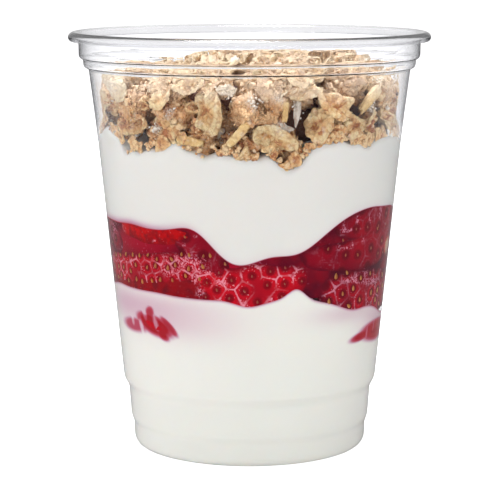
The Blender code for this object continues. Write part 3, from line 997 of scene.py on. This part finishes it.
core_low = (GRANOLA_FLOOR - 5) * MM
core_outline = [Vector((0, core_low)), part_way(HEAP_REACH, core_low)]
for level in np.linspace(GRANOLA_FLOOR - 4, HEAP_TOP - 2, 16) * MM:
    core_outline.append(part_way(HEAP_REACH, level))
for part, rise in ((0.76, -1), (0.7, -0.3), (0.6, 0.2), (0.45, 0.8), (0.3, 1.2), (0.15, 1.4), (0, 1.5)):
    core_outline.append(Vector((near_wall(0.1) * part, (HEAP_TOP + rise) * MM)))
core = turned("granola_core", core_outline, 120)
points = points_of(core.data)
rough = np.array([noise.noise(Vector(p) / (5 * MM)) + 0.4 * noise.noise(Vector(p) / (1.8 * MM))
                  for p in points])
lifted = points + points * np.array([1, 1, 0]) * (rough * 0.045)[:, None]
lifted[:, 2] += np.where(points[:, 2] > 0.097, rough * 1.6 * MM, 0)
set_points(core.data, lifted)
core.data.materials.append(heap_finish())
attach(core, "root")
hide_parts("granola")


def random_turn():
    """A turn to any side, as three axes."""
    axes, _ = np.linalg.qr(chance.normal(size=(3, 3)))
    return axes * np.sign(np.linalg.det(axes))


def facing_turn(normal, wobble):
    """Axes whose third lies near a normal, turned by chance about it."""
    third = normal + chance.normal(0, wobble, 3)
    third /= np.linalg.norm(third)
    first = np.cross(third, chance.normal(size=3))
    first /= np.linalg.norm(first)
    return np.stack([first, np.cross(third, first), third], axis=1)


def cluster_blank():
    """A crumbly lump about 1 across, with hollows and knobs."""
    points, faces = blank_arrays(bpy.ops.mesh.primitive_ico_sphere_add, subdivisions=4, radius=0.5)
    offset = Vector(chance.uniform(0, 90, 3))
    grown = []
    for point in points:
        here = Vector(point)
        knobs = noise.noise(here * 2.4 + offset) * 0.5 + abs(noise.noise(here * 6 + offset)) * 0.4
        crumbs = noise.noise(here * 13 + offset) * 0.18
        grown.append(here * (0.8 + knobs + crumbs))
    return np.array(grown) * np.array([1.15, 0.95, 0.85]), faces, np.full(len(points), PLAIN_RIM)


def flake_blank(sides, rings, tear=1):
    """A rolled oat flake about 1 long: a wavy oval, puffed up, creased and torn at its edge."""
    points, faces = blank_arrays(
        bpy.ops.mesh.primitive_uv_sphere_add, segments=sides, ring_count=rings, radius=0.5)
    shift = Vector(chance.uniform(0, 90, 3))
    width, curl, twist = chance.uniform(0.62, 0.95), *chance.normal(0, 0.4, 2)
    shaped = []
    for x, y, z in points:
        angle = math.atan2(y, x)
        way = Vector((math.cos(angle), math.sin(angle), 0))
        torn = 1 + tear * (0.42 * noise.noise(way * 1.5 + shift) + 0.24 * noise.noise(way * 4.2 + shift))
        spread = (math.hypot(x, y) / 0.5) ** 0.7 * 0.5 * torn
        here = Vector((way.x * spread, way.y * spread * width, 0))
        lift = 0.34 * noise.noise(here * 2.6 + shift) + curl * here.x**2 + twist * here.x * here.y
        crease = 0.09 * math.exp(-(((here.y - 0.3 * here.x) / 0.06) ** 2))
        puff = 0.2 * noise.noise(here * 6 + shift) + 0.08 * noise.noise(here * 15 + shift)
        side = 1 if z > 0 else 0.4
        shaped.append((here.x, here.y, z * 0.24 + lift + (puff - crease) * side))
    return np.array(shaped), faces, np.hypot(points[:, 0], points[:, 1]) / 0.5


def crumb_blank():
    points, faces = blank_arrays(bpy.ops.mesh.primitive_ico_sphere_add, subdivisions=1, radius=0.5)
    points = points * chance.uniform(0.6, 1.3, (len(points), 1)) * np.array([1.2, 0.9, 0.7])
    return points, faces, np.full(len(points), PLAIN_RIM)


def sliver_blank():
    """A split almond or a shred of coconut about 1 long: a knobby bar with broken ends."""
    points, faces = blank_arrays(bpy.ops.mesh.primitive_uv_sphere_add, segments=10, ring_count=9, radius=1)
    points = np.sign(points) * np.abs(points) ** 0.42
    shift = Vector(chance.uniform(0, 90, 3))
    bow, taper = chance.normal(0, 0.1), chance.uniform(-0.18, 0.18)
    rough = np.array([1 + 0.46 * noise.noise(Vector(p) * 1.6 + shift) for p in points])
    x, y, z = points.T * 0.5
    squeeze = (1 - taper * z * 2) * rough
    points = np.stack([z * rough, x * squeeze + bow * (1 - 4 * z * z), y * squeeze], axis=1)
    return points, faces, np.full(len(points), PLAIN_RIM)


def at_wall(azimuth, height, deep):
    """A place inside the plastic, with its height and depth in mm."""
    return around(azimuth, wall_radius(height * MM) - CLEAR_SHEET - deep * MM, height * MM)


def slack(azimuth, height):
    """How far the granola keeps off the plastic, where it has slid away from it, in metres."""
    return bell(np.abs(azimuth), 90, 17) * smooth(height / MM, 86, 92) * 2.6 * MM


def keep_inside(piece):
    """Presses what would stand out through the plastic back against its inner side."""
    points = points_of(piece.data)
    azimuth, radius, height = measured(piece)
    top = (HEAP_CEILING - heap_drop(points.T)) * MM
    height = np.minimum(height, top + (height - top) * 0.15)
    limit = wall_radius(np.minimum(height, 103 * MM)) - CLEAR_SHEET - 0.06 * MM
    limit = limit - slack(azimuth, height)
    over = np.maximum(radius - limit, 0)
    set_points(piece.data, around(azimuth, np.where(over > 0, limit + over * 0.03, radius), height))
    # Painted shade: darker in the hollows between the clusters and further in from the plastic, but not
    # under the bands
    away = np.linalg.norm(points[:, None, :] - hollow_middles, axis=2) / hollow_reach
    dark = 0.35 + 0.65 * (1 - smooth(away.min(axis=1), 0.7, 1.2))
    dark = dark * (1 - smooth(height, BANDS_BEGIN, BANDS_BEGIN + 4 * MM))
    dark = dark * smooth(limit - radius, 1.4 * MM, 4.5 * MM)
    carry(piece.data, "deep", dark)
    away = np.linalg.norm(points[:, None, :] - flour_middles, axis=2) / flour_reach
    carry(piece.data, "flour", 1 - smooth(away.min(axis=1), 0.5, 1.3))


def heap_drop(place):
    """How much lower the heap's top lies towards its left and right sides, in mm."""
    across = place[0] / MM
    return 4.4 * smooth(-across, 12, 30) + 3 * smooth(across, 28, 38)


# Where gaps with painted shade open between the clusters at the plastic: azimuth, height and reach in mm
HOLLOWS = (
    (-0.5, 99.4, 1.9), (-8.8, 91, 2), (1, 89, 2.4), (5, 91.4, 1.6), (39.6, 93.8, 2),
    (39.5, 97.2, 1.2), (-60, 95.2, 2), (-42, 99.4, 1.6), (22, 93.6, 1.2), (84, 91, 2.6),
    (112, 96, 2.8), (150, 91, 2.8), (188, 96, 2.8), (232, 91, 2.8), (262, 96, 2.4),
)
hollow_middles = np.array([at_wall(azimuth, height, 0.5) for azimuth, height, _ in HOLLOWS])
hollow_reach = np.array([reach for *_, reach in HOLLOWS]) * MM


def cluster_places():
    """Middles and sizes of the clusters: rows round the wall, then the heap's top."""
    places = []
    for level, count, size in ((86.5, 21, 9.5), (93.5, 19, 11.8), (100, 20, 9.6)):
        for index in range(count):
            azimuth = (index + (level % 3) / 3) * 360 / count + chance.normal(0, 3)
            height = level + chance.normal(0, 1)
            if level < 90:
                height += float(wave_height(GRANOLA_FLOOR_WAVES, np.array([azimuth]))[0]) * 0.8
            across = size * chance.uniform(0.7, 1.25)
            radius = float(wall_radius(height * MM)) / MM - across * chance.uniform(0.5, 0.85)
            place = around(azimuth, radius * MM, height * MM)
            place[2] -= heap_drop(place) * MM * (level > 97)
            away = np.linalg.norm(hollow_middles - place, axis=1) / (hollow_reach + across * 0.4 * MM)
            if away.min() > 1:
                places.append((place, across * MM))
    for ring, count in ((31, 17), (22, 13), (13, 8), (4, 3)):
        for index in range(count):
            azimuth = index * 360 / count + chance.normal(0, 6)
            radius = ring + chance.normal(0, 1.5)
            height = 100.8 + 1.4 * (1 - (ring / 36) ** 2) + chance.normal(0, 1.2)
            place = around(azimuth, radius * MM, height * MM)
            place[2] -= heap_drop(place) * MM
            places.append((place, 9.5 * chance.uniform(0.7, 1.25) * MM))
    return places


def granola_finish(name, pale, toasted, dark, grain_size, grain_depth):
    """Baked oats: cream where they are thick, golden to brown where the honey has caught, with painted shade
    between the grains and in the hollows, and painted light towards the top.
    """
    finish = Finish(name)
    place = finish.place()
    toast = finish.mark("toast")
    middle = 1 - finish.mark("rim").rise(0.1, 0.75)
    patches = finish.noise(260, 3)
    wobble = finish.node("ShaderNodeVectorMath", {"operation": "SCALE"}, {
        0: finish.node("ShaderNodeTexNoise", None, {"Vector": place, "Scale": 500}, output="Color"),
        "Scale": 1.2 * MM})
    bent = finish.node("ShaderNodeVectorMath", {"operation": "ADD"}, (place, wobble))
    grain = finish.grains(1000 / grain_size, bent)
    grain_tone = finish.grains(1000 / grain_size, bent, "Color")
    fine = finish.noise(2600, 2)
    browned = (toast + (patches - 0.5) * 1.3 + (grain_tone - 0.5) * 0.6 + middle * 0.4 - 0.15).held()
    colour = finish.mix(browned.rise(0.1, 0.72), pale, toasted)
    colour = finish.mix(browned.rise(0.62, 1), colour, dark)
    floury = finish.noise(420, 2).rise(0.6, 0.7)
    floury = floury * 0.3 + (fine - toast * 2).rise(0.5, 1.2)
    floury = floury + finish.mark("flour") * fine.rise(0.4, 0.56)
    colour = finish.mix(floury.held(), colour, (248, 242, 232))
    # Painted shade between the grains of the crumbly surface
    colour = finish.mix(grain.rise(0.45, 0.9) * 0.5, colour, dark)
    # Painted light: paler towards the top, behind the snap bands
    height = finish.node("ShaderNodeSeparateXYZ", None, (place,), output="Z")
    colour = finish.mix(height.rise(BANDS_BEGIN, BANDS_BEGIN + 5 * MM) * 0.6, colour, (255, 240, 216))
    # Painted shade in the hollows and away from the plastic
    colour = finish.mix(finish.mark("deep") * 0.85, colour, (74, 38, 38))
    return finish.done({
        "Base Color": finish.mix(fine * 0.3, colour, toasted),
        "Roughness": fine * 0.25 + 0.5,
        "Normal": finish.bump(fine * 0.5 + patches - grain, grain_depth * MM),
    })


# Floury white patches on the clusters: azimuth, height and reach in mm
FLOURY = (
    (-8.2, 99.9, 2.4), (1.5, 97, 2.6), (9.9, 97.8, 1.8), (17, 96, 1.4), (17.2, 93.4, 1.3),
    (11.6, 90.2, 2), (51, 94.3, 2.2), (53.6, 102.6, 3), (-57, 100.8, 3.4), (-36.6, 89.8, 2),
    (-30, 93.6, 1.6), (90, 95, 3), (135, 99, 3), (170, 92, 3), (215, 97, 3),
    (260, 93, 3),
)
flour_middles = np.array([at_wall(azimuth, height, 1) for azimuth, height, _ in FLOURY])
flour_reach = np.array([reach for *_, reach in FLOURY]) * MM


def floured(place):
    """Whether a crumb at a place is a white one, which it mostly is inside the floury patches."""
    away = np.linalg.norm(flour_middles - place, axis=1) / flour_reach
    return chance.random() < (0.85 if away.min() < 1 else 0.04)


def in_hollow(place, size=0):
    return (np.linalg.norm(hollow_middles - place, axis=1) < hollow_reach + size).any()


cluster_blanks = [cluster_blank() for _ in range(CLUSTER_FORMS)]
flake_blanks = [flake_blank(16, 8) for _ in range(12)]
crumb_blanks = [crumb_blank() for _ in range(8)]
sliver_blanks = [sliver_blank() for _ in range(8)]
large_blanks = [flake_blank(48, 24, 0.5) for _ in range(8)]
clusters, flakes, pale_flakes, crumbs, coconut, slivers, chips, large = [], [], [], [], [], [], [], []
for middle, across in cluster_places():
    which = chance.integers(CLUSTER_FORMS)
    turn = random_turn()
    clusters.append((which, turn * across, middle, (chance.uniform(0.2, 0.7),)))
    outward = middle * np.array([1, 1, 0])
    outward = outward / (np.linalg.norm(outward) + 1e-9)
    upward = smooth(middle[2] / MM, 97, 101)
    facing = outward * (1 - upward) + UPWARDS * upward
    points = cluster_blanks[which][0] @ turn.T * across
    normals = points / np.linalg.norm(points, axis=1)[:, None]
    shown = np.flatnonzero(normals @ facing > -0.15)
    for spot in chance.choice(shown, 9):
        size = min(8, 2.6 + chance.exponential(1.6)) * MM
        place = middle + points[spot] * chance.uniform(0.84, 1)
        if in_hollow(place, size / 2):
            continue
        copy = (chance.integers(12), facing_turn(normals[spot], 0.45) * size, place,
                (chance.uniform(0.1, 1),))
        (flakes if chance.random() < 0.6 else pale_flakes).append(copy)
    for spot in chance.choice(shown, 74):
        size = (0.5 + min(1.9, chance.exponential(0.6))) * MM
        place = middle + points[spot] * chance.uniform(0.97, 1.12)
        if in_hollow(place):
            continue
        copy = (chance.integers(8), random_turn() * size, place, (chance.uniform(0, 1),))
        (coconut if floured(place) else crumbs).append(copy)


def lean_on_wall(azimuth, height, lean, length, width, thickness, tip=0, deep=0.4):
    """The turn and size, and the place, of a bit that leans on the wall, its length turned by lean."""
    long_way, across, out = wall_axes(azimuth, lean)
    nod = math.radians(tip)
    out_way = out * math.cos(nod) + across * math.sin(nod)
    wide_way = across * math.cos(nod) - out * math.sin(nod)
    turn = np.stack([long_way * length, wide_way * width, out_way * thickness], axis=1) * MM
    return turn, at_wall(azimuth, height, deep)


def on_top(reach, level, fall):
    """A place on the heap's top, which falls away from a level towards the wall. Sizes in mm."""
    spot = around(chance.uniform(0, 360), reach * MM * math.sqrt(chance.random()), 0)
    spot[2] = (level - fall * (np.hypot(*spot[:2]) / HEAP_RADIUS) ** 2 - heap_drop(spot)) * MM
    return spot


# The larger bits that lean on the wall at the front: kind, azimuth, height, lean, length, width,
# thickness, toast, tip
for kind, *where, toast, tip in (
    (large, -15, 94.7, 96, 12.5, 10.5, 9, 0.4, 14), (large, -48, 90.4, 8, 11.5, 8.5, 7, 0.55, -10),
    (large, 32, 95.8, -28, 12, 10, 8, 0.6, 24), (large, 9, 87.6, -20, 12.5, 9.5, 9, 0.35, -24),
    (large, 26, 90.8, 70, 9.5, 8.5, 8, 0.5, 16), (large, -31, 89.8, 120, 8.5, 9, 7, 0.6, 12),
    (large, -33, 97.4, 30, 8, 7, 7, 0.45, 20), (large, 41, 89.6, 20, 8, 8, 7, 0.5, 15),
    (large, 20, 99.5, 10, 9, 6, 7, 0.5, 30), (large, -22, 101, 10, 9, 7, 7, 0.6, 30),
    (large, 52, 90.5, 80, 9, 8, 7, 0.5, -14), (large, -70, 94, 60, 9, 8, 7, 0.4, 10),
    (large, -57, 100.4, -30, 13, 7.5, 5, -0.1, 10), (slivers, 48, 96.8, 38, 9.6, 2.7, 2.4, 0.45, 0),
    (slivers, -4.4, 88.8, 48, 7.4, 2.2, 1.8, 0.5, 0), (slivers, -22, 86.6, -8, 7.5, 2.2, 1.7, 0.6, 0),
    (large, 17.2, 94.8, 84, 8, 2, 3, -0.5, 20), (large, 12, 90.6, -14, 6, 2.8, 3.5, -0.4, 10),
    (large, -8.2, 100, 4, 5.5, 3.6, 4, -0.3, 10),
    (slivers, 12.6, 94.6, 86, 5.4, 1.6, 1.4, 0.6, 0),
):
    turn, place = lean_on_wall(*where, tip=tip, deep=1.2 if kind is large else 0.4)
    kind.append((len(kind) % 8, turn, place, (toast,)))
for azimuth, height, across in ((-1.5, 94.4, 9), (10.5, 97, 7.5), (-35, 96.6, 11), (9, 93, 6.5)):
    clusters.append((chance.integers(CLUSTER_FORMS), random_turn() * across * MM,
                     around(azimuth, wall_radius(height * MM) - across * 0.58 * MM, height * MM), (0.45,)))
# White crumbs of sugar and flour, crowded in patches
for azimuth, height, reach in FLOURY:
    for sideways, up in chance.normal(0, reach * 0.42, (int(reach * 10), 2)):
        place = at_wall(azimuth + sideways * 1.4, height + up, chance.uniform(0.7, 2.2))
        size = (0.35 + min(0.7, chance.exponential(0.25))) * MM
        coconut.append((chance.integers(8), random_turn() * size, place, (0.1,)))
# Slivers and chips all round and on top, and bits along the yogurt's edge
for _ in range(24):
    turn, place = lean_on_wall(chance.uniform(62, 298), chance.uniform(86, 101), chance.uniform(0, 180),
                               *chance.uniform(7, 12, 3), tip=chance.normal(0, 18), deep=1.2)
    large.append((chance.integers(8), turn, place, (chance.uniform(0.3, 0.7),)))
for _ in range(26):
    spot = on_top(33, 105, 1.6)
    turn = facing_turn(UPWARDS, 0.35) * chance.uniform(7, 11, 3) * MM
    large.append((chance.integers(8), turn, spot, (chance.uniform(0.3, 0.7),)))
for kind, count, length, width in ((slivers, 9, 8, 2.2), (chips, 10, 5, 1.9)):
    for _ in range(count):
        turn, place = lean_on_wall(chance.uniform(60, 300), chance.uniform(86, 102), chance.uniform(0, 180),
                                   length * chance.uniform(0.6, 1.3), width * chance.uniform(0.7, 1.3), 1.3)
        kind.append((chance.integers(8), turn, place, (chance.uniform(0, 0.6),)))
        spot = on_top(36, 105.2, 2)
        sizes = np.array([length * chance.uniform(0.6, 1.2), width, 1.3]) * MM
        kind.append((chance.integers(8), facing_turn(UPWARDS, 0.35) * sizes, spot, (0.2,)))
for azimuth in chance.uniform(-180, 180, 420):
    height = float(granola_floor(np.array([azimuth]))[0]) / MM + chance.uniform(-0.5, 1.8)
    size = min(6, 0.8 + chance.exponential(1.1))
    kind, blanks = (crumbs, crumb_blanks) if size < 2.2 else (flakes, flake_blanks)
    turn, place = lean_on_wall(azimuth, height, chance.uniform(0, 180), size, size, size * 0.7, deep=0.15)
    kind.append((chance.integers(len(blanks)), turn, place, (chance.uniform(0.1, 0.8),)))

# name, blanks, copies, pale, toasted and dark tones, grain size and depth in mm
heaps = (
    ("granola_clusters", cluster_blanks, clusters, (250, 210, 160), (226, 166, 110), (152, 90, 60), 1, 0.8),
    ("oat_flakes", flake_blanks, flakes, (252, 220, 164), (228, 170, 110), (164, 94, 54), 1, 0.55),
    ("pale_oat_flakes", flake_blanks, pale_flakes,
     (250, 236, 206), (236, 204, 158), (204, 148, 102), 1, 0.3),
    ("large_oat_flakes", large_blanks, large, (252, 230, 180), (236, 190, 130), (176, 100, 56), 1.2, 0.7),
    ("granola_crumbs", crumb_blanks, crumbs, (252, 222, 174), (228, 170, 112), (142, 84, 56), 0.6, 0.15),
    ("coconut_bits", crumb_blanks, coconut, (250, 244, 234), (238, 226, 208), (214, 186, 156), 0.6, 0.15),
    ("almond_slivers", sliver_blanks, slivers, (242, 214, 156), (228, 188, 124), (186, 134, 84), 1.2, 0.28),
    ("coconut_chips", sliver_blanks, chips, (252, 250, 244), (244, 236, 222), (222, 192, 156), 1.2, 0.2),
)
for name, blanks, copies, pale, toasted, dark, grain_size, grain_depth in heaps:
    heap = joined(name, blanks, copies, ("toast", "rim"))
    keep_inside(heap)
    heap.data.materials.append(granola_finish(name, pale, toasted, dark, grain_size, grain_depth))
    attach(heap, "root")


# --------------------------------------------------------- Floor and lights
# The parfait stands on a plain white table, with a soft light above on the left and white all
# round. The camera looks a little down at it, from about half a metre away.

CAMERA_DISTANCE = 0.55
CAMERA_ABOVE_RIM = 0.024
CAMERA_PITCH = 8.38
CAMERA_LENS = 152.3
CAMERA_SHIFT = -0.0198
TABLE_RADIUS = 12


def table_finish():
    """White acrylic lit from below, more for the eye than on the food, and painted near black where it shows
    in a plain reflection.
    """
    finish = Finish("white_table")
    dust = finish.noise(6, 2)
    white = finish.mix(dust, (196, 196, 198), (200, 200, 202))
    return finish.done({
        # Painted dark reflection: near black for plain reflections
        "Base Color": finish.mix(finish.mirrored() * 0.85, white, (20, 20, 22)),
        "Roughness": dust * 0.05 + 0.6,
        "Specular IOR Level": 0.1,
        "Emission Color": finish.mix(
            finish.seen() - finish.on_food() * 0.12, (100, 100, 102), (246, 246, 246)),
        "Emission Strength": 1,
    })


def studio_finish(sky):
    """White walls to the sides and a darker ceiling."""
    finish = Finish("white_studio")
    finish.material, finish.tree = sky, sky.node_tree
    finish.tree.nodes.clear()
    place = finish.node("ShaderNodeTexCoord", output="Generated")
    rise = finish.node("ShaderNodeSeparateXYZ", None, (place,), output="Z")
    walls = finish.ramp(rise, ((0, (255, 255, 255)), (0.3, (250, 250, 250)), (0.6, (120, 120, 120))))
    seen = (finish.seen() + finish.light("Is Glossy Ray") - finish.mirrored()).held()
    walls = finish.mix(seen, walls, (246, 246, 246))
    strength = seen * (1 - finish.on_food() * 0.53) * 0.38 - finish.mirrored() * 0.1 + 0.62
    shader = finish.node("ShaderNodeBackground", None, (walls, strength))
    finish.node("ShaderNodeOutputWorld", None, {"Surface": shader})


table = fresh(bpy.ops.mesh.primitive_circle_add, vertices=96, radius=TABLE_RADIUS, fill_type="NGON")
table.name = "table"
table.data.materials.append(table_finish())


def soft_light(name, place, aim, size, power):
    lamp = fresh(bpy.ops.object.light_add, type="AREA", location=place)
    lamp.name = name
    lamp.data.size = size
    lamp.data.energy = power
    lamp.rotation_euler = (Vector(aim) - Vector(place)).to_track_quat("-Z", "Y").to_euler()
    return lamp


heart = (0, 0, RIM_HEIGHT / 2)
soft_light("key_light", (-0.38, -0.9, 0.45), heart, 0.6, 1.5)
soft_light("fill_light", (0.9, -0.42, 0.25), heart, 0.8, 1.8)
soft_light("left_light", (-0.95, -0.25, 0.25), heart, 0.8, 1.6)
soft_light("top_light", (-0.15, 0.15, 1.5), heart, 0.6, 24)

sky = bpy.data.worlds.new("white_studio")
bpy.context.scene.world = sky
sky.use_nodes = True
studio_finish(sky)

camera = fresh(
    bpy.ops.object.camera_add,
    location=(0, -CAMERA_DISTANCE, RIM_HEIGHT + CAMERA_ABOVE_RIM),
    rotation=(math.radians(90 - CAMERA_PITCH), 0, 0),
)
camera.data.lens = CAMERA_LENS
camera.data.shift_x = CAMERA_SHIFT
bpy.context.scene.camera = camera
bpy.context.scene.view_settings.view_transform = "Standard"
